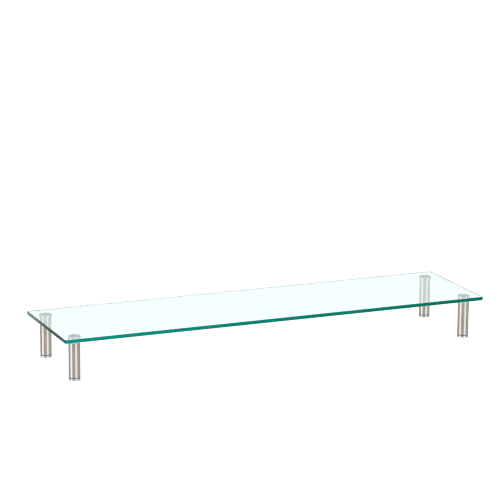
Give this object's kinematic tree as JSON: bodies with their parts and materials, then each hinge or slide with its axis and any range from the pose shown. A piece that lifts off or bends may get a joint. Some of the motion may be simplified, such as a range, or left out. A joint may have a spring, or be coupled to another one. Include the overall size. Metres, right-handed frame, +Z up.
{
  "type": "monitor riser stand",
  "caption": "Long clear glass shelf on round brushed steel legs at its corners, bonded under the glass by bright collars, with screw-out levelling feet.",
  "frame": {"origin": "on the desk, under the middle of the shelf, with the feet screwed fully in", "axes": "+X along the shelf's long side to the right, +Y to the rear, +Z up"},
  "size_m": [1, 0.26, 0.1],
  "materials": {
    "shelf_glass": "clear tempered glass, polished, with a teal-green edge",
    "uv_adhesive": "clear cured adhesive",
    "satin_steel": "bright satin, turned",
    "brushed_steel": "brushed round the tube",
    "polished_chrome": "polished",
    "zinc_steel": "zinc plated",
    "cast_alloy": "as cast, dull",
    "dark_nylon": "dark blue-black, satin",
    "rubber": "matte"
  },
  "bodies": {
    "stand": {"glass_shelf": "shelf_glass", "front_left_adhesive": "uv_adhesive", "front_left_collar": "satin_steel", "front_left_collar_stud": "zinc_steel", "front_left_top_plug": "cast_alloy", "front_left_leg_tube": "brushed_steel", "front_left_bottom_insert": "cast_alloy", "front_right_adhesive": "uv_adhesive", "front_right_collar": "satin_steel", "front_right_collar_stud": "zinc_steel", "front_right_top_plug": "cast_alloy", "front_right_leg_tube": "brushed_steel", "front_right_bottom_insert": "cast_alloy", "rear_left_adhesive": "uv_adhesive", "rear_left_collar": "satin_steel", "rear_left_collar_stud": "zinc_steel", "rear_left_top_plug": "cast_alloy", "rear_left_leg_tube": "brushed_steel", "rear_left_bottom_insert": "cast_alloy", "rear_right_adhesive": "uv_adhesive", "rear_right_collar": "satin_steel", "rear_right_collar_stud": "zinc_steel", "rear_right_top_plug": "cast_alloy", "rear_right_leg_tube": "brushed_steel", "rear_right_bottom_insert": "cast_alloy"},
    "front_left_pad": {"front_left_foot_pad": "rubber"},
    "front_left_foot": {"front_left_spacer_ring": "dark_nylon", "front_left_levelling_foot": "polished_chrome", "front_left_foot_stud": "zinc_steel"},
    "front_right_pad": {"front_right_foot_pad": "rubber"},
    "front_right_foot": {"front_right_spacer_ring": "dark_nylon", "front_right_levelling_foot": "polished_chrome", "front_right_foot_stud": "zinc_steel"},
    "rear_left_pad": {"rear_left_foot_pad": "rubber"},
    "rear_left_foot": {"rear_left_spacer_ring": "dark_nylon", "rear_left_levelling_foot": "polished_chrome", "rear_left_foot_stud": "zinc_steel"},
    "rear_right_pad": {"rear_right_foot_pad": "rubber"},
    "rear_right_foot": {"rear_right_spacer_ring": "dark_nylon", "rear_right_levelling_foot": "polished_chrome", "rear_right_foot_stud": "zinc_steel"}
  },
  "joints": [
    {"name": "front_left_foot_travel", "type": "slide", "parent": "stand", "child": "front_left_pad", "axis": [0, 0, -1], "range_m": [0, 0.008]},
    {"name": "front_left_foot_turn", "type": "hinge", "parent": "front_left_pad", "child": "front_left_foot", "pos_m": [-0.468, -0.096, 0.006], "axis": [0, 0, -1], "range_deg": [0, 2304]},
    {"name": "front_right_foot_travel", "type": "slide", "parent": "stand", "child": "front_right_pad", "axis": [0, 0, -1], "range_m": [0, 0.008]},
    {"name": "front_right_foot_turn", "type": "hinge", "parent": "front_right_pad", "child": "front_right_foot", "pos_m": [0.468, -0.096, 0.006], "axis": [0, 0, -1], "range_deg": [0, 2304]},
    {"name": "rear_left_foot_travel", "type": "slide", "parent": "stand", "child": "rear_left_pad", "axis": [0, 0, -1], "range_m": [0, 0.008]},
    {"name": "rear_left_foot_turn", "type": "hinge", "parent": "rear_left_pad", "child": "rear_left_foot", "pos_m": [-0.468, 0.096, 0.006], "axis": [0, 0, -1], "range_deg": [0, 2304]},
    {"name": "rear_right_foot_travel", "type": "slide", "parent": "stand", "child": "rear_right_pad", "axis": [0, 0, -1], "range_m": [0, 0.008]},
    {"name": "rear_right_foot_turn", "type": "hinge", "parent": "rear_right_pad", "child": "rear_right_foot", "pos_m": [0.468, 0.096, 0.006], "axis": [0, 0, -1], "range_deg": [0, 2304]}
  ],
  "couplings": [
    {"joint": "front_left_foot_turn", "follows": "front_left_foot_travel", "rad_per_m": 5026.5},
    {"joint": "front_right_foot_turn", "follows": "front_right_foot_travel", "rad_per_m": 5026.5},
    {"joint": "rear_left_foot_turn", "follows": "rear_left_foot_travel", "rad_per_m": 5026.5},
    {"joint": "rear_right_foot_turn", "follows": "rear_right_foot_travel", "rad_per_m": 5026.5}
  ]
}
